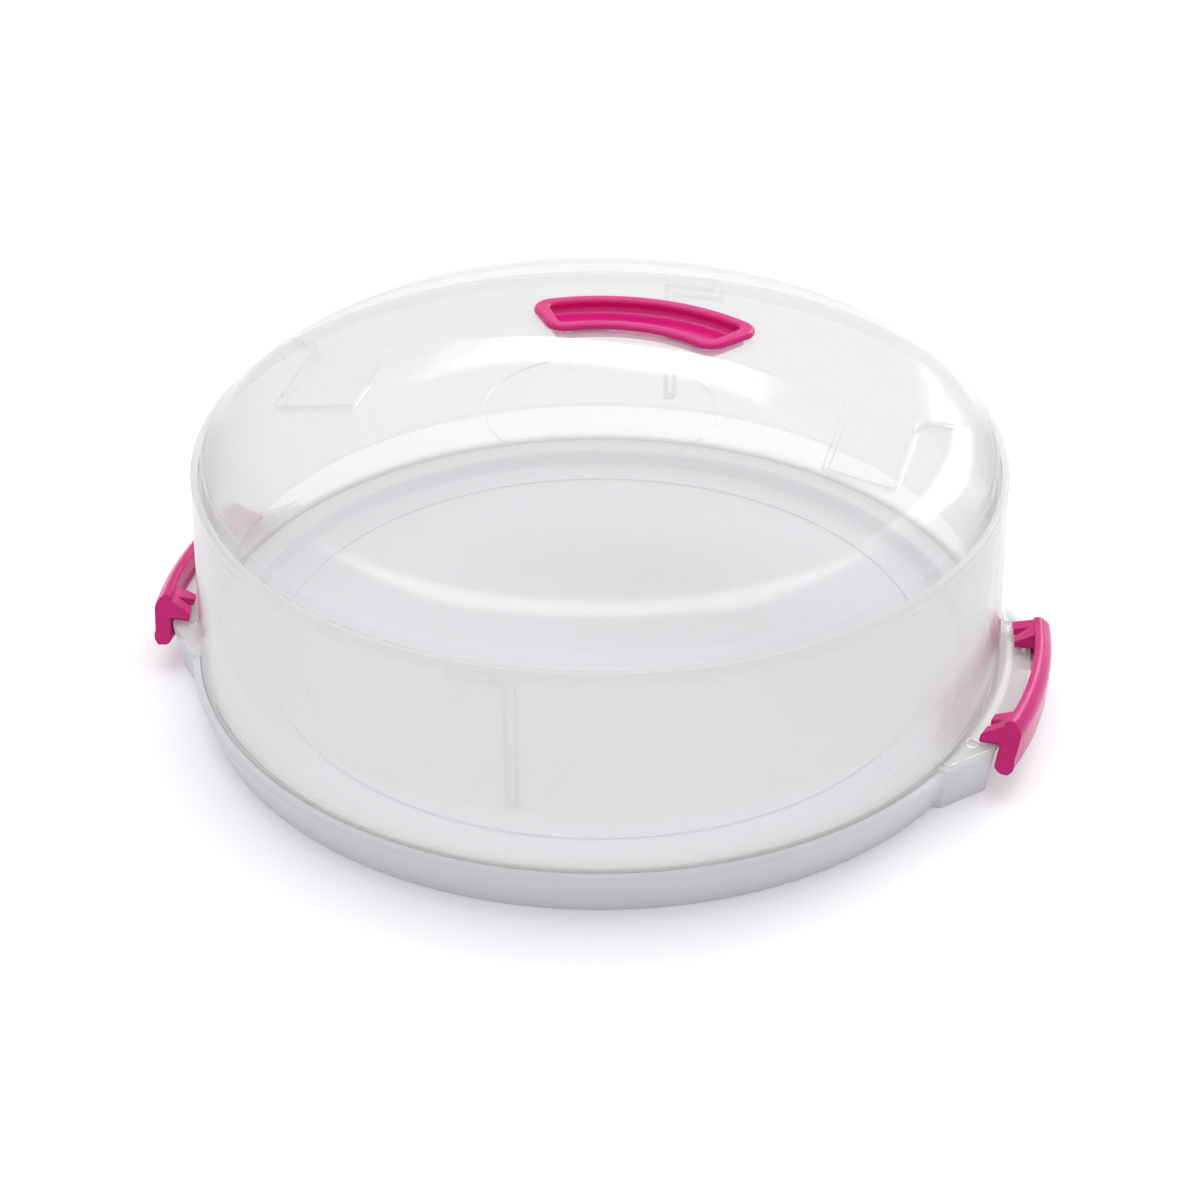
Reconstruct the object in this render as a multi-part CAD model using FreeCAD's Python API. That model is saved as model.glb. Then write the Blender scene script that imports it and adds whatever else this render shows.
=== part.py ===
"""Round cake carrier: white base tray, clear collar, clear dome that slides up
inside the collar, pink top grip and two pink side clips.

Millimetres. Z is up, z = 0 is the foot of the base, X runs through the two
clips and +Y points to the back, where the top grip sits.
"""
import FreeCAD, Part
import math
import os
from FreeCAD import Vector

# Collar: the clear wall that stands in the groove of the base, a little wider at its foot
collar_inner_radius = 162.2
collar_rim_width = 3.1
collar_rim_height = 4.2
collar_rim_round = 0.9
collar_lip_slope = 1.4
collar_wall = 2.2
collar_draft = 1.35
collar_top = 107.2
collar_seat_depth = 2.0
collar_groove_clearance = 0.3
seat_gap = 0.3

# Base tray
base_height = 19.6
base_rim_margin = 3.6
base_flare = 6.2
base_rim_bevel = 1.6
base_foot_round = 1.2
base_wall = 2.5
tray_ledge_width = 9.9
tray_floor_drop = 5.6
tray_slope_run = 3.0
tray_round = 1.8
tray_ring_inset = 18.0
tray_ring_width = 2.0
tray_ring_rise = 0.6
rib_count = 12
rib_thickness = 1.8
rib_hub_share = 0.21
rib_foot_gap = 2.0

# Lugs of the base and ears of the collar, on +X and -X
lug_reach = 3.0
lug_root_angle = 21.8
lug_corner_angle = 15.0
lug_wall = 2.4
lug_draft = 2.4
ear_thickness = 2.6
ear_corner_round = 4.0
ear_wall_fillet = 6.0
dimple_radius = 2.6
dimple_depth = 0.9
dimple_inset = 8.6
dimple_angle = 15.4

# Height guide: two angled tracks between rails inside the collar, one peg each on the dome
track_count = 2
track_width = 2.8
track_depth = 1.2
rail_width = 1.3
rail_gap = 0.5
rail_root = 0.5
track_travel = 52.9
track_shelf_drop = 8.2
track_turn = 7.6
peg_radius = 1.1
peg_tip_gap = 0.3
peg_root = 0.8

# Dome: a flat top in front, a raised crescent with the grip behind it
dome_gap = 1.2
dome_wall = 2.0
dome_skirt_overhang = 5.1
dome_skirt_rise = 7.4
dome_skirt_round = 5.0
dome_shoulder_run = 18.0
dome_shoulder_rise = 21.0
dome_shoulder_round = 45.0
dome_flat_drop = 2.9
dome_edge_round = 20.0
crown_rise = 6.0
crown_brow_drop = 1.7
crown_setback_share = 0.35
crown_edge_round = 4.0
gate_ring_radius = 47.0
gate_ring_width = 0.9
gate_ring_depth = 0.3

# Front of the crescent: x, y of its foot and y of its brow, as shares of the dome's radius
crown_line_shares = [
    (0.0, 0.224, 0.294), (0.211, 0.208, 0.294), (0.385, 0.127, 0.258), (0.522, 0.006, 0.245),
    (0.609, -0.037, 0.255), (0.789, 0.093, 0.176), (1.05, 0.11, 0.112),
]
pad_inner_share = 0.596
pad_outer_share = 0.789
pad_front_inner_share = -0.162
pad_front_outer_share = -0.217
pad_back_share = 0.186
pad_front_rise = 1.9
pad_slope_rise = 2.6
pad_corner_round = 2.5

# Top grip
grip_inner_radius = 58.0
grip_width = 31.0
grip_half_angle = 35.4
grip_flange_width = 3.4
grip_flange_height = 2.2
grip_flange_round = 1.5
grip_wall = 1.8
grip_depth = 5.2
grip_corner_round = 9.0
grip_slot_gap = 0.3
grip_seat_gap = 0.05
grip_trough_round = 3.0
snap_reach = 1.6
snap_height = 2.4
snap_length_angle = 14.0
snap_centre_angle = 19.0

# Side clips
clip_gap = 1.2
clip_thickness = 7.3
clip_drop = 8.0
clip_rise = 12.8
clip_overlap_angle = 0.3
clip_end_lean = 10.4
clip_skin = 2.4
clip_draft = 0.7
clip_bar_depth = 8.2
clip_ridge_inset = 4.8
clip_ridge_rise = 1.6
clip_shoulder_drop = 3.2
clip_edge_round = 1.9
clip_shoulder_round = 5.0
clip_ridge_round = 2.6
clip_lip_round = 1.2
clip_end_wall_angle = 4.9
claw_reach = 6.9
claw_gap = 0.45
claw_tip_height = 2.6
claw_top_drop = 1.4
claw_tip_round = 0.7
claw_angle = 6.2
claw_middle_angle = 11.4
claw_notch_angle = 2.8
claw_notch_depth = 6.0
hinge_drop = 3.9
hinge_pin_radius = 1.5
hinge_clearance = 0.05
hinge_barrel_radius = 3.9
hinge_lug_gap = 0.9
hinge_end_gap = 0.4
pin_tip_inset = 2.4
pin_tip_gap = 0.4
bracket_radius = 2.4
bracket_width = 6.0

# Radii, heights and angles that follow from the sizes above
collar_rim_radius = collar_inner_radius + collar_rim_width
collar_foot = base_height - collar_seat_depth + seat_gap
collar_slope = math.tan(math.radians(collar_draft))
collar_foot_radius = collar_rim_radius + (collar_top - collar_foot) * collar_slope
groove_outer_radius = collar_foot_radius + collar_groove_clearance
groove_inner_radius = collar_foot_radius - collar_wall - collar_groove_clearance
base_rim_radius = collar_foot_radius + base_rim_margin
base_foot_radius = base_rim_radius - base_flare
tray_ledge_radius = groove_inner_radius - tray_ledge_width
tray_ring_radius = tray_ledge_radius - tray_ring_inset
tray_floor = base_height - tray_floor_drop
rib_hub_radius = tray_ledge_radius * rib_hub_share
lug_face_x = base_rim_radius + lug_reach
lug_corner_y = lug_face_x * math.tan(math.radians(lug_corner_angle))
ear_root_x = base_rim_radius * math.cos(math.radians(lug_root_angle))
ear_root_y = base_rim_radius * math.sin(math.radians(lug_root_angle))
ear_radius = math.hypot(lug_face_x, lug_corner_y)
ear_foot = base_height + seat_gap
ear_top = ear_foot + ear_thickness
track_shelf = collar_top - track_shelf_drop
track_foot = track_shelf - track_travel
track_radius = collar_inner_radius + track_depth
rail_foot = track_foot - rail_width
rail_outer_radius = collar_rim_radius + (collar_top - rail_foot) * collar_slope - collar_wall + rail_root
peg_height = track_foot + seat_gap + peg_radius
dome_radius = collar_inner_radius - dome_gap
rail_inner_radius = dome_radius + rail_gap
dome_skirt_foot = track_foot - dome_skirt_overhang
dome_shoulder_radius = dome_radius - dome_shoulder_run
dome_flat = collar_top + dome_shoulder_rise - dome_flat_drop
dome_apex = collar_top + dome_shoulder_rise + crown_rise
crown_brow = dome_apex - crown_brow_drop
grip_outer_radius = grip_inner_radius + grip_width
clip_inner_radius = ear_radius + clip_gap
clip_outer_radius = clip_inner_radius + clip_thickness
clip_half_angle = lug_corner_angle + clip_overlap_angle
clip_foot = base_height - clip_drop
clip_top = base_height + clip_rise
claw_tip_radius = ear_radius - claw_reach
claw_notch_radius = claw_tip_radius + claw_notch_depth
claw_foot = ear_top + claw_gap
hinge_x = lug_face_x + hinge_barrel_radius + hinge_lug_gap
hinge_z = base_height - hinge_drop
swing = math.degrees(track_width / track_radius)
turn = 360.0
quarter_turn = 90.0
seam_angle = 45.0
upright_share = 1e-6
origin = Vector(0, 0, 0)
x_axis = Vector(1, 0, 0)
y_axis = Vector(0, 1, 0)
z_axis = Vector(0, 0, 1)


def rounded_wire(corners, place):
    """Closed wire through (u, v, radius) corners; place turns (u, v) into a point."""
    count = len(corners)
    ends = []
    for i, (u, v, radius) in enumerate(corners):
        pu, pv = corners[i - 1][:2]
        nu, nv = corners[(i + 1) % count][:2]
        back = Vector(pu - u, pv - v, 0)
        ahead = Vector(nu - u, nv - v, 0)
        here = Vector(u, v, 0)
        if not radius:
            ends.append((here, None, here))
            continue
        half = back.getAngle(ahead) / 2
        back.normalize()
        ahead.normalize()
        reach = radius / math.tan(half)
        middle = (back + ahead).normalize()
        mid_point = here + middle * (radius / math.sin(half) - radius)
        ends.append((here + back * reach, mid_point, here + ahead * reach))
    edges = []
    for i, (start, mid_point, stop) in enumerate(ends):
        before = ends[i - 1][2]
        if before.distanceToPoint(start) > Part.Vertex(start).Tolerance:
            edges.append(Part.makeLine(place(before), place(start)))
        if mid_point is not None:
            edges.append(Part.Arc(place(start), place(mid_point), place(stop)).toShape())
    return Part.Wire(edges)


def upright(point):
    """Profile (radius, height) in the XZ plane."""
    return Vector(point.x, 0, point.y)


def flat_at(height):
    return lambda point: Vector(point.x, point.y, height)


def spun(corners, first_angle=seam_angle, sweep=turn):
    """Solid turned about Z from a profile of (radius, height, rounding) corners."""
    face = Part.Face(rounded_wire(corners, upright))
    face.rotate(origin, z_axis, first_angle)
    return face.revolve(origin, z_axis, sweep)


def arc_block(inner, outer, low, high, first_angle, last_angle):
    """Block between two radii, two heights and two angles about Z."""
    corners = [(inner, low, 0), (outer, low, 0), (outer, high, 0), (inner, high, 0)]
    return spun(corners, first_angle, last_angle - first_angle)


def ring_block(inner, outer, low, high):
    return arc_block(inner, outer, low, high, seam_angle, seam_angle + turn)


def prism(corners, low, high):
    face = Part.Face(rounded_wire(corners, flat_at(low)))
    return face.extrude(Vector(0, 0, high - low))


def tapered(low_corners, high_corners, low, high):
    """Upright block between two plans of the same form."""
    wires = [rounded_wire(low_corners, flat_at(low)), rounded_wire(high_corners, flat_at(high))]
    return Part.makeLoft(wires, True, True)


def cylinder_between(start, end, radius):
    return Part.makeCylinder(radius, start.distanceToPoint(end), start, end - start)


def other_side(shape):
    return shape.mirror(origin, x_axis)


def cone_height(radius):
    """Height of the dome's shallow cone at a radius."""
    share = radius / dome_shoulder_radius
    return dome_apex - share * crown_rise


def parallel(corners, distance):
    """Open profile moved to its left by a distance, with its roundings kept parallel."""
    moved = []
    last = len(corners) - 1
    for i, (u, v, radius) in enumerate(corners):
        steps = []
        for a, b in ((i - 1, i), (i, i + 1)):
            if a >= 0 and b <= last:
                step = Vector(corners[b][0] - corners[a][0], corners[b][1] - corners[a][1], 0)
                steps.append(step.normalize())
        normals = [Vector(-step.y, step.x, 0) for step in steps]
        middle = sum(normals[1:], normals[0]).normalize()
        reach = distance / middle.dot(normals[0])
        moved.append((max(u + middle.x * reach, 0), v + middle.y * reach, max(radius - distance, 0)))
    return moved


def side_y(x):
    """Half width of a lug or ear at a distance out along X."""
    slope = (ear_root_y - lug_corner_y) / (lug_face_x - ear_root_x)
    return lug_corner_y - (x - lug_face_x) * slope


def lug_plan(face_x, inset):
    """Plan of a lug or ear: slanted sides and a straight outer face."""
    root_y = ear_root_y - inset
    inner_x = collar_inner_radius * math.cos(math.asin(root_y / base_foot_radius))
    corner_y = side_y(face_x) - inset
    return [
        (inner_x, -root_y, 0), (ear_root_x - inset, -root_y, 0),
        (face_x - inset, -corner_y, ear_corner_round), (face_x - inset, corner_y, ear_corner_round),
        (ear_root_x - inset, root_y, 0), (inner_x, root_y, 0),
    ]


def base_skin():
    """Outer profile of the base from its foot to its top face."""
    return [
        (base_foot_radius, 0, base_foot_round),
        (base_rim_radius, base_height - base_rim_bevel, base_rim_bevel),
        (base_rim_radius - base_rim_bevel, base_height, base_rim_bevel),
    ]


def base_envelope():
    return spun([(0, 0, 0)] + base_skin() + [(0, base_height, 0)])


def base_lug():
    """Hollow lug on +X with two hinge brackets and their pins."""
    block = tapered(lug_plan(lug_face_x, lug_draft), lug_plan(lug_face_x, 0), 0, base_height)
    hollow = tapered(lug_plan(lug_face_x, lug_draft + lug_wall), lug_plan(lug_face_x, lug_wall),
                     0, base_height - lug_wall)
    lug = block.cut(hollow).cut(base_envelope())
    clip_end_y = clip_inner_radius * math.sin(math.radians(clip_half_angle))
    barrel_y = clip_inner_radius * math.sin(math.radians(clip_half_angle - clip_end_wall_angle))
    outer_y = barrel_y - hinge_end_gap
    inner_y = outer_y - bracket_width
    for side in (1, -1):
        low, high = sorted((side * inner_y, side * outer_y))
        arm = Part.makeBox(hinge_x - lug_face_x + lug_wall, high - low, bracket_radius + bracket_radius,
                           Vector(lug_face_x - lug_wall, low, hinge_z - bracket_radius))
        nose = Part.makeCylinder(bracket_radius, high - low, Vector(hinge_x, low, hinge_z), y_axis)
        pin = cylinder_between(Vector(hinge_x, side * inner_y, hinge_z),
                               Vector(hinge_x, side * (clip_end_y - pin_tip_inset), hinge_z),
                               hinge_pin_radius)
        lug = lug.fuse([arm, nose, pin])
    return lug


def make_base_tray():
    groove_floor = base_height - collar_seat_depth
    under_ledge = groove_floor - base_wall
    slope_foot = tray_ledge_radius - tray_slope_run
    floor_under = tray_floor - base_wall
    skirt_share = under_ledge / (base_height - base_rim_bevel)
    skirt_inside = base_foot_radius - base_wall + skirt_share * (base_rim_radius - base_foot_radius)
    tray = spun([
        (base_foot_radius - base_wall - base_foot_round, 0, 0), *base_skin(),
        (groove_outer_radius, base_height, 0), (groove_outer_radius, groove_floor, 0),
        (groove_inner_radius, groove_floor, 0), (groove_inner_radius, base_height, 0),
        (tray_ledge_radius, base_height, tray_round), (slope_foot, tray_floor, tray_round),
        (tray_ring_radius + tray_ring_width, tray_floor, 0),
        (tray_ring_radius + tray_ring_width, tray_floor + tray_ring_rise, 0),
        (tray_ring_radius, tray_floor + tray_ring_rise, 0),
        (tray_ring_radius, tray_floor, 0),
        (0, tray_floor, 0), (0, floor_under, 0),
        (slope_foot - base_wall, floor_under, 0), (tray_ledge_radius - base_wall, under_ledge, 0),
        (skirt_inside, under_ledge, base_wall),
    ])
    ribs = []
    for i in range(rib_count):
        rib = Part.makeBox(tray_ledge_radius - rib_hub_radius, rib_thickness, floor_under - rib_foot_gap,
                           Vector(rib_hub_radius, -rib_thickness / 2, rib_foot_gap))
        rib = rib.cut(ring_block(slope_foot - base_wall, base_rim_radius, 0, floor_under))
        rib.rotate(origin, z_axis, turn * i / rib_count)
        ribs.append(rib)
    ribs.append(ring_block(rib_hub_radius - rib_thickness, rib_hub_radius + rib_thickness,
                           rib_foot_gap, floor_under))
    lug = base_lug()
    return tray.fuse(ribs + [lug, other_side(lug)]).removeSplitter()


def make_collar():
    lip_foot = collar_top - collar_rim_height
    wall_top = lip_foot - collar_lip_slope
    collar = spun([
        (collar_foot_radius - collar_wall, collar_foot, 0), (collar_foot_radius, collar_foot, 0),
        (collar_rim_radius, collar_top, collar_rim_round), (collar_inner_radius, collar_top, collar_rim_round),
        (collar_inner_radius, lip_foot, 0),
        (collar_rim_radius + (collar_top - wall_top) * collar_slope - collar_wall, wall_top, 0),
    ])
    ear = collar_ear()
    collar = collar.fuse([ear, other_side(ear)])
    for i in range(track_count):
        angle = -quarter_turn + turn * i / track_count
        rail = track_block(angle, rail_width, lip_foot, rail_outer_radius)
        channel = track_block(angle, 0, collar_top + track_depth, track_radius + collar_wall)
        entry = track_block(angle, 0, collar_top + track_depth, track_radius)
        collar = collar.cut(entry).fuse(rail.cut(channel))
    return collar.removeSplitter()


def collar_ear():
    """Ear on +X that lies on the lug and flares into the collar wall."""
    wall_middle = collar_foot_radius - collar_wall / 2
    wall_face = collar_foot_radius - collar_wall / 4
    flare_top = ear_top + ear_wall_fillet
    ear = spun([
        (wall_middle, ear_foot, 0), (ear_radius, ear_foot, 0), (ear_radius, ear_top, 0),
        (wall_face, ear_top, ear_wall_fillet), (wall_face, flare_top, 0),
        (wall_middle, flare_top, 0),
    ], -quarter_turn / 2, quarter_turn)
    ear = ear.common(prism(lug_plan(ear_radius, 0), ear_foot, flare_top))
    corners = [edge for edge in ear.Edges if is_upright(edge) and is_ear_corner(edge)]
    ear = ear.makeFillet(ear_corner_round, corners)
    for side in (1, -1):
        angle = math.radians(side * dimple_angle)
        place = Vector((ear_radius - dimple_inset) * math.cos(angle),
                       (ear_radius - dimple_inset) * math.sin(angle), ear_top - dimple_depth)
        ear = ear.cut(Part.makeCylinder(dimple_radius, dimple_depth + dimple_depth, place))
    return ear


def is_ear_corner(edge):
    point = edge.Vertexes[0].Point
    return math.hypot(point.x, point.y) > ear_radius - seat_gap


def track_block(angle, grow, entry_top, outer):
    """Entry slot, shelf and long slot of one height track; grow widens it to its rails."""
    low = track_shelf - grow
    high = track_shelf + track_width + grow
    half = swing / 2 + math.degrees(grow / track_radius)
    left = angle - track_turn / 2
    right = angle + track_turn / 2
    entry = arc_block(rail_inner_radius, outer, low, entry_top, left - half, left + half)
    shelf = arc_block(rail_inner_radius, outer, low, high, left, right)
    slot = arc_block(rail_inner_radius, outer, track_foot - grow, high, right - half, right + half)
    return entry.fuse([shelf, slot])


def dome_profile(top_radius, top_height, top_round, apex):
    """Outer surface from the foot of the skirt, over the shoulder, to the axis."""
    return [
        (dome_radius, dome_skirt_foot, 0),
        (dome_radius, collar_top + dome_skirt_rise, dome_skirt_round),
        (top_radius, top_height, top_round),
        (0, apex, 0),
    ]


def flat_profile():
    """Dome with a flat top, its shoulder on the same slope as the crescent's."""
    rise = dome_flat - collar_top - dome_skirt_rise
    run_share = rise / (dome_shoulder_rise - dome_skirt_rise)
    edge_radius = dome_radius - run_share * dome_shoulder_run
    return dome_profile(edge_radius, dome_flat, dome_edge_round, dome_flat)


def crown_profile():
    return dome_profile(dome_shoulder_radius, collar_top + dome_shoulder_rise, dome_shoulder_round, dome_apex)


def turned_up(profile):
    return spun(profile + [(0, profile[0][1], 0)])


def crown_wire(column, setback, height):
    """Closed line around everything behind the foot or the brow of the crescent."""
    half = [(row[0] * dome_radius, row[column] * dome_radius + setback) for row in crown_line_shares]
    points = [Vector(-x, y, height) for x, y in half[:0:-1]] + [Vector(x, y, height) for x, y in half]
    front = Part.BSplineCurve()
    front.interpolate(points)
    back_y = dome_radius + dome_radius
    right = Vector(points[-1].x, back_y, height)
    left = Vector(points[0].x, back_y, height)
    return Part.Wire([
        front.toShape(), Part.makeLine(points[-1], right), Part.makeLine(right, left),
        Part.makeLine(left, points[0]),
    ])


def crown_space(inset):
    """Space behind the sloping front of the crescent; inset draws it in by a wall."""
    setback = inset * crown_setback_share
    foot = crown_wire(1, setback, dome_flat - inset)
    brow = crown_wire(2, setback, crown_brow - inset)
    slope = Part.makeLoft([foot, brow], True, True)
    under = Part.Face(foot).extrude(Vector(0, 0, -dome_wall))
    return slope.fuse(under)


def crown_pad(inset):
    """Wedge pad at the right end of the crescent."""
    inner_x = pad_inner_share * dome_radius + inset
    outer_x = pad_outer_share * dome_radius - inset
    back_y = pad_back_share * dome_radius - inset
    front_y = [share * dome_radius + inset for share in (pad_front_inner_share, pad_front_outer_share)]
    low = dome_flat - inset - dome_wall
    pad = prism([
        (inner_x, back_y, 0), (inner_x, front_y[0], pad_corner_round),
        (outer_x, front_y[1], pad_corner_round), (outer_x, back_y, 0),
    ], low, dome_apex)
    front_high = dome_flat + pad_front_rise - inset
    back_high = front_high + pad_slope_rise
    above = Part.Face(Part.makePolygon([
        Vector(0, front_y[1], front_high), Vector(0, back_y, back_high), Vector(0, back_y, dome_apex + low),
        Vector(0, front_y[1], dome_apex + low), Vector(0, front_y[1], front_high),
    ])).extrude(Vector(dome_radius, 0, 0))
    return pad.cut(above)


def dome_form(inset):
    """The dome as a full body: outer form at no inset, its hollow at one wall thickness."""
    flat = turned_up(parallel(flat_profile(), inset) if inset else flat_profile())
    crown = turned_up(parallel(crown_profile(), inset) if inset else crown_profile())
    pad = crown_pad(inset)
    raised = crown_space(inset).fuse([pad, other_side(pad)]).common(crown)
    if not inset:
        flat = flat.cut(ring_block(gate_ring_radius - gate_ring_width, gate_ring_radius,
                                   dome_flat - gate_ring_depth, dome_flat + gate_ring_depth))
    return flat.fuse(raised).removeSplitter()


def is_crown_brow(edge):
    """True for the upper edge of the sloping front of the crescent."""
    box = edge.BoundBox
    in_front = box.ZMin > dome_flat + dome_wall and box.YMax < dome_shoulder_radius / 2
    return in_front and edge.Length > gate_ring_radius


def make_dome():
    outer = dome_form(0)
    brow = [edge for edge in outer.Edges if is_crown_brow(edge)]
    outer = outer.makeFillet(crown_edge_round, brow)
    dome = outer.cut(dome_form(dome_wall))
    slot = grip_sector(grip_flange_width, dome_apex + grip_depth, dome_skirt_foot)
    dome = dome.cut(slot)
    pegs = []
    for i in range(track_count):
        angle = math.radians(-quarter_turn + turn * i / track_count + track_turn / 2)
        way = Vector(math.cos(angle), math.sin(angle), 0)
        lift = Vector(0, 0, peg_height)
        pegs.append(cylinder_between(way * (dome_radius - peg_root) + lift,
                                     way * (track_radius - peg_tip_gap) + lift, peg_radius))
    return dome.fuse(pegs).removeSplitter()


def grip_sector(inset, high, low):
    """Sector of the top grip's plan, drawn in by an inset, between two heights."""
    inner = grip_inner_radius + inset
    outer = grip_outer_radius - inset
    first = quarter_turn - grip_half_angle + math.degrees(inset / inner)
    last = quarter_turn + grip_half_angle - math.degrees(inset / inner)
    block = arc_block(inner, outer, low, high, first, last)
    uprights = [edge for edge in block.Edges if is_upright(edge)]
    return block.makeFillet(max(grip_corner_round - inset, grip_wall), uprights)


def is_upright(edge):
    ends = [vertex.Point for vertex in edge.Vertexes]
    return len(ends) == 2 and (ends[1] - ends[0]).cross(z_axis).Length < upright_share * edge.Length


def cone_block(rise, low):
    """Everything under a cone parallel to the dome's top, for trimming to its slope."""
    return spun([
        (0, low, 0), (dome_shoulder_radius, low, 0),
        (dome_shoulder_radius, cone_height(dome_shoulder_radius) + rise, 0), (0, dome_apex + rise, 0),
    ])


def make_top_grip():
    under = dome_flat - grip_depth - grip_depth
    high = dome_apex + grip_depth
    body_inset = grip_flange_width + grip_slot_gap
    flange = grip_sector(0, high, under).common(cone_block(grip_seat_gap + grip_flange_height, under))
    flange = flange.cut(cone_block(grip_seat_gap, under))
    body = grip_sector(body_inset, high, under).common(cone_block(grip_seat_gap + grip_flange_height, under))
    body = body.cut(cone_block(-grip_depth, under))
    grip = flange.fuse(body).removeSplitter()
    top_edges = [edge for edge in grip.Edges if is_grip_brim(edge)]
    grip = grip.makeFillet(grip_flange_round, top_edges)
    trough = grip_sector(body_inset + grip_wall, high, under).cut(cone_block(grip_wall - grip_depth, under))
    floor_edges = [edge for edge in trough.Edges if is_trough_foot(edge)]
    trough = trough.makeFillet(grip_trough_round, floor_edges)
    grip = grip.cut(trough)
    inner_edges = [edge for edge in grip.Edges if is_grip_brim(edge) and is_trough_lip(edge)]
    grip = grip.makeFillet(grip_flange_round, inner_edges)
    snap_top = -dome_wall - grip_seat_gap
    for radius in (grip_inner_radius + body_inset, grip_outer_radius - body_inset):
        for side in (1, -1):
            middle = quarter_turn + side * snap_centre_angle
            snap = arc_block(radius - snap_reach, radius + snap_reach, under, high,
                             middle - snap_length_angle / 2, middle + snap_length_angle / 2)
            snap = snap.common(cone_block(snap_top, under)).cut(cone_block(snap_top - snap_height, under))
            grip = grip.fuse(snap.cut(trough))
    return grip.removeSplitter()


def is_grip_brim(edge):
    """True for the outer edge of the flange's top face."""
    point = edge.valueAt((edge.FirstParameter + edge.LastParameter) / 2)
    height = point.z - cone_height(math.hypot(point.x, point.y)) - grip_seat_gap - grip_flange_height
    return abs(height) < grip_seat_gap


def is_trough_lip(edge):
    """True for an edge inside the flange, away from its outer rounding."""
    point = edge.valueAt((edge.FirstParameter + edge.LastParameter) / 2)
    radius = math.hypot(point.x, point.y)
    inside = grip_inner_radius + grip_flange_width < radius < grip_outer_radius - grip_flange_width
    off_centre = abs(math.degrees(math.atan2(point.x, point.y)))
    return inside and off_centre < grip_half_angle - math.degrees(grip_flange_width / radius)


def is_trough_foot(edge):
    point = edge.valueAt((edge.FirstParameter + edge.LastParameter) / 2)
    height = point.z - cone_height(math.hypot(point.x, point.y)) + grip_depth - grip_wall
    return abs(height) < grip_seat_gap


def make_clip():
    """Clip on +X: a curved bar with a thin outer skin, end walls, claws and hinge barrels."""
    ridge_radius = clip_outer_radius - clip_ridge_inset
    shoulder = clip_top - clip_ridge_rise - clip_shoulder_drop
    section = [
        (clip_inner_radius, clip_foot + clip_edge_round, clip_edge_round),
        (clip_outer_radius - clip_draft, clip_foot, clip_edge_round),
        (clip_outer_radius, shoulder, clip_shoulder_round),
        (ridge_radius, clip_top, clip_ridge_round),
        (clip_inner_radius, clip_top - clip_ridge_rise, clip_lip_round),
    ]
    sweep = clip_half_angle + clip_half_angle
    clip = spun(section, -clip_half_angle, sweep)
    inner_angle = clip_half_angle - clip_end_wall_angle
    pocket_top = clip_top - clip_bar_depth
    pocket = spun([
        (claw_tip_radius, clip_foot - clip_skin, 0),
        (clip_outer_radius - clip_skin - clip_draft, clip_foot - clip_skin, 0),
        (clip_outer_radius - clip_skin, pocket_top, 0),
        (claw_tip_radius, pocket_top, 0),
    ], -inner_angle, inner_angle + inner_angle)
    clip = clip.cut(pocket)
    claw_section = [
        (clip_inner_radius + clip_skin, claw_foot, 0),
        (clip_inner_radius + clip_skin, clip_top - clip_ridge_rise - claw_top_drop, 0),
        (clip_inner_radius, clip_top - clip_ridge_rise - claw_top_drop, 0),
        (claw_tip_radius, claw_foot + claw_tip_height, claw_tip_round),
        (claw_tip_radius, claw_foot, claw_tip_round),
    ]
    end_y = clip_inner_radius * math.sin(math.radians(clip_half_angle))
    for side in (1, -1):
        first, last = sorted((side * clip_half_angle, side * (clip_half_angle - claw_angle)))
        clip = clip.fuse(spun(claw_section, first, last - first))
        low, high = sorted((side * (end_y + hinge_end_gap),
                            side * clip_inner_radius * math.sin(math.radians(inner_angle))))
        barrel = Part.makeCylinder(hinge_barrel_radius, high - low, Vector(hinge_x, low, hinge_z), y_axis)
        barrel = barrel.common(arc_block(claw_tip_radius, clip_outer_radius, clip_foot, clip_top, first, last))
        clip = clip.fuse(barrel)
        middle = math.radians(side * claw_middle_angle)
        open_angle = math.radians(claw_notch_angle / 2)
        tip = claw_tip_radius - claw_tip_height
        notch = prism([
            (claw_notch_radius * math.cos(middle), claw_notch_radius * math.sin(middle), 0),
            (tip * math.cos(middle - open_angle), tip * math.sin(middle - open_angle), 0),
            (tip * math.cos(middle + open_angle), tip * math.sin(middle + open_angle), 0),
        ], claw_foot - claw_tip_height, clip_top + claw_tip_height)
        clip = clip.cut(notch)
        clip = clip.cut(clip_end_cutter(side))
        bore_end = side * (end_y - pin_tip_inset + pin_tip_gap)
        clip = clip.cut(cylinder_between(Vector(hinge_x, side * hinge_barrel_radius, hinge_z),
                                         Vector(hinge_x, bore_end, hinge_z),
                                         hinge_pin_radius + hinge_clearance))
    return clip


def clip_end_cutter(side):
    """Space beyond one end of the clip, which leans in towards the top."""
    foot_y = side * clip_outer_radius * math.sin(math.radians(clip_half_angle))
    beyond_y = side * clip_outer_radius
    return Part.Face(Part.makePolygon([
        Vector(0, foot_y, clip_foot), Vector(0, foot_y - side * clip_end_lean, clip_top),
        Vector(0, beyond_y, clip_top), Vector(0, beyond_y, clip_foot), Vector(0, foot_y, clip_foot),
    ])).extrude(Vector(clip_outer_radius + clip_outer_radius, 0, 0))


def export(name, shape):
    shape.exportStep(os.path.join("parts", name + ".step"))


os.makedirs("parts", exist_ok=True)
right_clip = make_clip()
export("base_tray", make_base_tray())
export("collar", make_collar())
export("dome", make_dome())
export("top_grip", make_top_grip())
export("right_clip", right_clip)
export("left_clip", other_side(right_clip))
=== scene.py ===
import math

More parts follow.
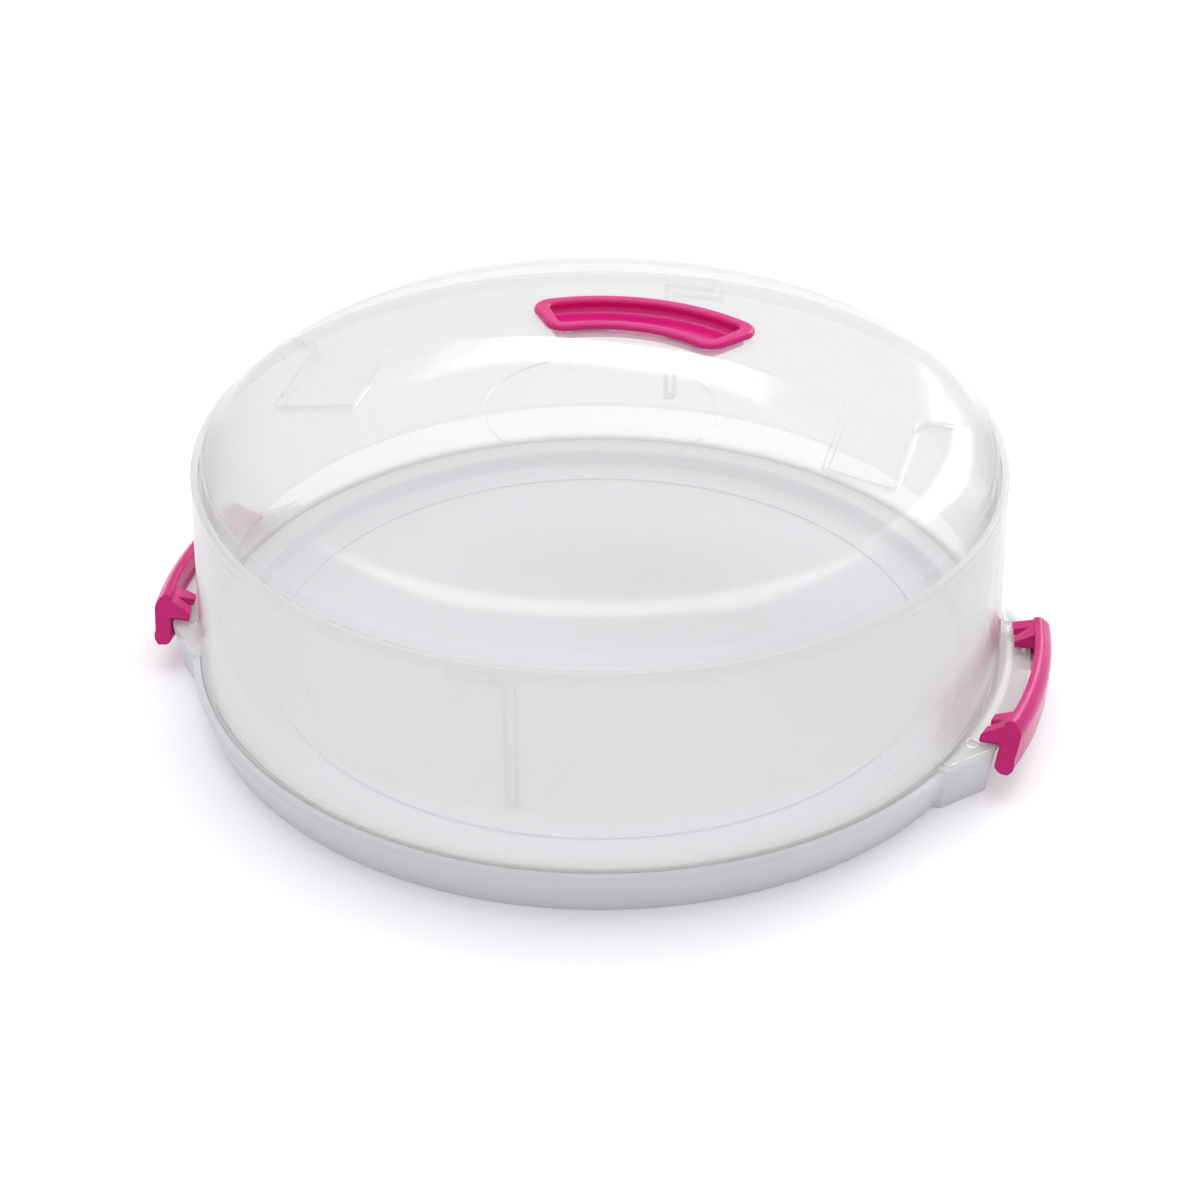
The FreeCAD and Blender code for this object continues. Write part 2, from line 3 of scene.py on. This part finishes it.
import bpy
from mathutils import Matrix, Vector

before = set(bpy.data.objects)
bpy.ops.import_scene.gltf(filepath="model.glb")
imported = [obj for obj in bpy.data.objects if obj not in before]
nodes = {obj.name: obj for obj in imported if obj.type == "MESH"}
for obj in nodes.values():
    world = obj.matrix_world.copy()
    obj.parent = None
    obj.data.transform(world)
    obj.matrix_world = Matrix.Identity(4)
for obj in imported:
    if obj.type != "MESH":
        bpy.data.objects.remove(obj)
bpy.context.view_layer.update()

MM = 0.001

# Camera, in metres and degrees, with its lens and sensor in millimetres
AIM = Vector((0.0, 0.0, 0.0345))
AZIMUTH = 15.26
ELEVATION = 32.27
DISTANCE = 1.2079
LENS = 86.4
SENSOR = 36.0

# Floor: its side in metres, and the lift of its white by distance from the part's axis; the lift is lowest
# by the foot, a painted shade that darkens the contact shadow there
FLOOR_SIDE = 12.0
PAINTED_FOOT_SHADE = {"From_Min": 0.165, "From_Max": 0.215, "To_Min": 0.2, "To_Max": 0.36}
FAR_WHITE = {"From_Min": 0.4, "From_Max": 2.5, "To_Max": 0.36}

# Room: the light it throws on the part, and how bright it looks
ROOM_LIGHT = {"To_Min": 0.52, "To_Max": 1.0}

# Softboxes: place, width and depth in metres, and watts
SOFTBOXES = {
    "overhead softbox": ((-0.15, 0.55, 2.3), 2.4, 1.7, 26.0),
    "back softbox": ((0.7, 1.8, 1.15), 1.2, 0.8, 12.0),
}

# Clear mouldings: the haze of one face, and the zones where the wall is thicker, each with
# the millimetres where it starts, those where it is thickest, and the haze there
COLLAR_HAZE = 0.28
COLLAR_RIM = ("height", 101.4, 102.8, 0.5)
COLLAR_FOOT = ("height", 23.0, 21.5, 0.6)
TRACK_RAILS = ("radius", 163.0, 162.6, 0.6)
DOME_HAZE = 0.13
DOME_CRESCENT = ("height", 125.4, 127.5, 0.26)

# White edges and ledges of the clear mouldings; the collar ends below its ledge height
EDGE_MM = 1.0
EDGE_WHITE = {"From_Min": 0.98, "From_Max": 0.8, "To_Max": 0.7}
LEDGE_WHITE = {"From_Min": 0.97, "From_Max": 0.8, "To_Max": 0.32}
LEDGE_BLEND_MM = 0.5
COLLAR_LEDGE_MM = 200
DOME_LEDGE_MM = 125.4

# Clear faces that a ray may cross, and samples for soft edges
CLEAR_CROSSINGS = 64
EDGE_SAMPLES = 6


def linear(code):
    """Linear colour of an sRGB hex value."""
    channels = [int(code[i:i + 2], 16) / 255 for i in (1, 3, 5)]
    return [c / 12.92 if c <= 0.04045 else ((c + 0.055) / 1.055) ** 2.4 for c in channels] + [1.0]


def add(tree, kind, settings=None, **sockets):
    """Adds a node; a socket value is a constant or another node's output."""
    node = tree.nodes.new(kind)
    for name, value in (settings or {}).items():
        setattr(node, name, value)
    for name, value in sockets.items():
        key = int(name[1:]) if name[0] == "_" else name.replace("_", " ")
        if isinstance(value, bpy.types.NodeSocket):
            tree.links.new(value, node.inputs[key])
        else:
            node.inputs[key].default_value = value
    return node


def new_material(name):
    material = bpy.data.materials.new(name)
    material.use_nodes = True
    tree = material.node_tree
    tree.nodes.clear()
    return material, tree


def moulded_surface(tree, ripple_mm, grain_mm, ripple, grain, edge_mm=0.0):
    """Normal of a moulded face: long flow ripples under a fine tool grain, and edges that
    are soft over edge_mm."""
    place = add(tree, "ShaderNodeTexCoord").outputs["Object"]
    wave = add(tree, "ShaderNodeTexNoise", Vector=place, Scale=1 / (ripple_mm * MM), Detail=2.0)
    fine = add(tree, "ShaderNodeTexNoise", Vector=place, Scale=1 / (grain_mm * MM), Detail=3.0)
    low = add(tree, "ShaderNodeBump", Height=wave.outputs["Fac"], Strength=ripple, Distance=ripple_mm * MM)
    if edge_mm:
        soft = add(tree, "ShaderNodeBevel", {"samples": EDGE_SAMPLES}, Radius=edge_mm * MM)
        tree.links.new(soft.outputs["Normal"], low.inputs["Normal"])
    high = add(tree, "ShaderNodeBump", Height=fine.outputs["Fac"], Strength=grain, Distance=grain_mm * MM,
               Normal=low.outputs["Normal"])
    return place, wave, high.outputs["Normal"]


def clear_polypropylene(name, haze, thick_zones, ledge_mm):
    """Natural polypropylene, injection-moulded and 2 mm thick: a milky film that passes
    and scatters light, under a gloss that grows where the eye glances along it. The
    haze is that of one face, and each wall has two; thick zones are hazier. Edges, and
    steep faces above ledge_mm, bend the light of the room to the eye and look white."""
    material, tree = new_material(name)
    place, wave, normal = moulded_surface(tree, ripple_mm=60, grain_mm=4, ripple=0.02, grain=0.002)
    height = add(tree, "ShaderNodeSeparateXYZ", Vector=place).outputs["Z"]
    across = add(tree, "ShaderNodeVectorMath", {"operation": "MULTIPLY"}, _0=place, _1=(1.0, 1.0, 0.0))
    radius = add(tree, "ShaderNodeVectorMath", {"operation": "LENGTH"}, _0=across.outputs["Vector"])
    measures = {"height": height, "radius": radius.outputs["Value"]}
    body = haze
    for measure, start, end, zone_haze in thick_zones:
        zone = add(tree, "ShaderNodeMapRange", Value=measures[measure], From_Min=start * MM,
                   From_Max=end * MM, To_Min=haze, To_Max=zone_haze)
        body = add(tree, "ShaderNodeMath", {"operation": "MAXIMUM"}, _0=body,
                   _1=zone.outputs["Result"]).outputs[0]

    front = add(tree, "ShaderNodeBsdfDiffuse", Color=linear("#F6F6F6"), Normal=normal)
    back = add(tree, "ShaderNodeBsdfTranslucent", Color=linear("#F6F6F6"), Normal=normal)
    milk = add(tree, "ShaderNodeMixShader", _0=0.5, _1=front.outputs["BSDF"], _2=back.outputs["BSDF"])
    clear = add(tree, "ShaderNodeBsdfTransparent")
    film = add(tree, "ShaderNodeMixShader", _0=body, _1=clear.outputs["BSDF"], _2=milk.outputs["Shader"])

    face = add(tree, "ShaderNodeNewGeometry").outputs["Normal"]
    rounded = add(tree, "ShaderNodeBevel", {"samples": EDGE_SAMPLES}, Radius=EDGE_MM * MM)
    turn = add(tree, "ShaderNodeVectorMath", {"operation": "DOT_PRODUCT"},
               _0=rounded.outputs["Normal"], _1=face)
    edge = add(tree, "ShaderNodeMapRange", Value=turn.outputs["Value"], **EDGE_WHITE)
    level = add(tree, "ShaderNodeMath", {"operation": "ABSOLUTE"},
                _0=add(tree, "ShaderNodeSeparateXYZ", Vector=face).outputs["Z"])
    steep = add(tree, "ShaderNodeMapRange", Value=level.outputs[0], **LEDGE_WHITE)
    raised = add(tree, "ShaderNodeMapRange", Value=height, From_Min=ledge_mm * MM,
                 From_Max=(ledge_mm + LEDGE_BLEND_MM) * MM)
    ledge = add(tree, "ShaderNodeMath", {"operation": "MULTIPLY"}, _0=steep.outputs["Result"],
                _1=raised.outputs["Result"])
    bent = add(tree, "ShaderNodeMath", {"operation": "MAXIMUM"}, _0=edge.outputs["Result"],
               _1=ledge.outputs[0])

    facing = add(tree, "ShaderNodeLayerWeight", Blend=0.5, Normal=normal)
    glance = add(tree, "ShaderNodeMath", {"operation": "POWER"}, _0=facing.outputs["Facing"], _1=5.0)
    mirror = add(tree, "ShaderNodeMapRange", Value=glance.outputs[0], To_Min=0.05)
    shine = add(tree, "ShaderNodeMath", {"operation": "MAXIMUM"}, _0=mirror.outputs["Result"],
                _1=bent.outputs[0])
    rough = add(tree, "ShaderNodeMapRange", Value=wave.outputs["Fac"], To_Min=0.18, To_Max=0.24)
    gloss = add(tree, "ShaderNodeBsdfGlossy", Roughness=rough.outputs["Result"], Normal=normal)
    surface = add(tree, "ShaderNodeMixShader", _0=shine.outputs[0], _1=film.outputs["Shader"],
                  _2=gloss.outputs["BSDF"])
    add(tree, "ShaderNodeOutputMaterial", Surface=surface.outputs["Shader"])
    return material


def white_polypropylene(name):
    """White polypropylene, injection-moulded: satin, faintly cool, with fine tool grain."""
    material, tree = new_material(name)
    _, wave, normal = moulded_surface(tree, ripple_mm=40, grain_mm=1.2, ripple=0.02, grain=0.05)
    rough = add(tree, "ShaderNodeMapRange", Value=wave.outputs["Fac"], To_Min=0.3, To_Max=0.42)
    plastic = add(tree, "ShaderNodeBsdfPrincipled", Base_Color=linear("#EFEEF2"), IOR=1.49,
                  Roughness=rough.outputs["Result"], Normal=normal)
    add(tree, "ShaderNodeOutputMaterial", Surface=plastic.outputs["BSDF"])
    return material


def pink_polypropylene(name):
    """Magenta-pink polypropylene, injection-moulded: satin gloss, colour a little
    deeper where the flow was slower."""
    material, tree = new_material(name)
    _, wave, normal = moulded_surface(tree, ripple_mm=18, grain_mm=0.8, ripple=0.03, grain=0.06, edge_mm=1.5)
    shade = add(tree, "ShaderNodeMix", {"data_type": "RGBA"}, _0=wave.outputs["Fac"],
                _6=linear("#D61477"), _7=linear("#E41F88"))
    rough = add(tree, "ShaderNodeMapRange", Value=wave.outputs["Fac"], To_Min=0.15, To_Max=0.23)
    plastic = add(tree, "ShaderNodeBsdfPrincipled", Base_Color=shade.outputs[2], IOR=1.49,
                  Specular_IOR_Level=0.3, Roughness=rough.outputs["Result"], Normal=normal)
    add(tree, "ShaderNodeOutputMaterial", Surface=plastic.outputs["BSDF"])
    return material


def dress(node, material):
    slots = nodes[node].data.materials
    slots.clear()
    slots.append(material)


def seen_directly(tree):
    """1 where the eye sees a surface itself, in a gloss or through a clear wall, else 0."""
    path = add(tree, "ShaderNodeLightPath")
    plain = add(tree, "ShaderNodeMath", {"operation": "MAXIMUM"}, _0=path.outputs["Is Camera Ray"],
                _1=path.outputs["Is Glossy Ray"])
    return add(tree, "ShaderNodeMath", {"operation": "MAXIMUM"}, _0=plain.outputs[0],
               _1=path.outputs["Is Transmission Ray"]).outputs[0]


def studio_floor():
    """Pale floor that reads as white, more so away from the part, and keeps the soft
    contact shadow; its glow is lowered close to the part's foot, which paints a darker shade
    around the foot."""
    bpy.ops.mesh.primitive_plane_add(size=FLOOR_SIDE)
    floor = bpy.context.object
    floor.name = "studio_floor"
    material, tree = new_material("matt white studio paper")
    paper = add(tree, "ShaderNodeBsdfDiffuse", Color=linear("#F3F3F7"))
    place = add(tree, "ShaderNodeTexCoord").outputs["Object"]
    away = add(tree, "ShaderNodeVectorMath", {"operation": "LENGTH"}, _0=place).outputs["Value"]
    # painted shade: the floor's glow is lower close to the foot, darkening the floor around the part
    painted_foot_shade = add(tree, "ShaderNodeMapRange", Value=away, **PAINTED_FOOT_SHADE)
    far = add(tree, "ShaderNodeMapRange", Value=away, **FAR_WHITE)
    lift = add(tree, "ShaderNodeMath", {"operation": "ADD"}, _0=painted_foot_shade.outputs["Result"],
               _1=far.outputs["Result"])
    seen = add(tree, "ShaderNodeMath", {"operation": "MULTIPLY"}, _0=seen_directly(tree), _1=lift.outputs[0])
    glow = add(tree, "ShaderNodeEmission", Color=linear("#FFFFFF"), Strength=seen.outputs[0])
    both = add(tree, "ShaderNodeAddShader", _0=paper.outputs["BSDF"], _1=glow.outputs["Emission"])
    add(tree, "ShaderNodeOutputMaterial", Surface=both.outputs["Shader"])
    floor.data.materials.append(material)


def studio_light():
    world = bpy.data.worlds.new("white studio")
    bpy.context.scene.world = world
    world.use_nodes = True
    tree = world.node_tree
    tree.nodes.clear()
    level = add(tree, "ShaderNodeMapRange", Value=seen_directly(tree), **ROOM_LIGHT)
    sky = add(tree, "ShaderNodeBackground", Color=linear("#FFFFFF"), Strength=level.outputs["Result"])
    add(tree, "ShaderNodeOutputWorld", Surface=sky.outputs["Background"])
    for name, (place, width, depth, watts) in SOFTBOXES.items():
        softbox(name, place, width, depth, watts)


def softbox(name, place, width, depth, watts):
    lamp = bpy.data.lights.new(name, "AREA")
    lamp.shape = "RECTANGLE"
    lamp.size = width
    lamp.size_y = depth
    lamp.energy = watts
    lamp_object = bpy.data.objects.new(name, lamp)
    lamp_object.location = place
    lamp_object.rotation_euler = (AIM - Vector(place)).to_track_quat("-Z", "Y").to_euler()
    bpy.context.scene.collection.objects.link(lamp_object)


def set_camera():
    azimuth = math.radians(AZIMUTH)
    elevation = math.radians(ELEVATION)
    way = Vector((math.sin(azimuth) * math.cos(elevation), -math.cos(azimuth) * math.cos(elevation),
                  math.sin(elevation)))
    camera = bpy.data.cameras.new("camera")
    camera.lens = LENS
    camera.sensor_width = SENSOR
    camera_object = bpy.data.objects.new("camera", camera)
    camera_object.location = AIM + way * DISTANCE
    camera_object.rotation_euler = (-way).to_track_quat("-Z", "Y").to_euler()
    bpy.context.scene.collection.objects.link(camera_object)
    bpy.context.scene.camera = camera_object


white = white_polypropylene("white moulded polypropylene")
pink = pink_polypropylene("pink moulded polypropylene")
clear_collar = clear_polypropylene("clear moulded polypropylene, collar", COLLAR_HAZE,
                                   [COLLAR_RIM, COLLAR_FOOT, TRACK_RAILS], COLLAR_LEDGE_MM)
clear_dome = clear_polypropylene("clear moulded polypropylene, dome", DOME_HAZE,
                                 [DOME_CRESCENT], DOME_LEDGE_MM)
dress("base_tray", white)
dress("collar", clear_collar)
dress("dome", clear_dome)
for part in ("top_grip", "right_clip", "left_clip"):
    dress(part, pink)

studio_floor()
studio_light()
set_camera()
bpy.context.scene.cycles.transparent_max_bounces = CLEAR_CROSSINGS
bpy.context.scene.view_settings.view_transform = "Standard"
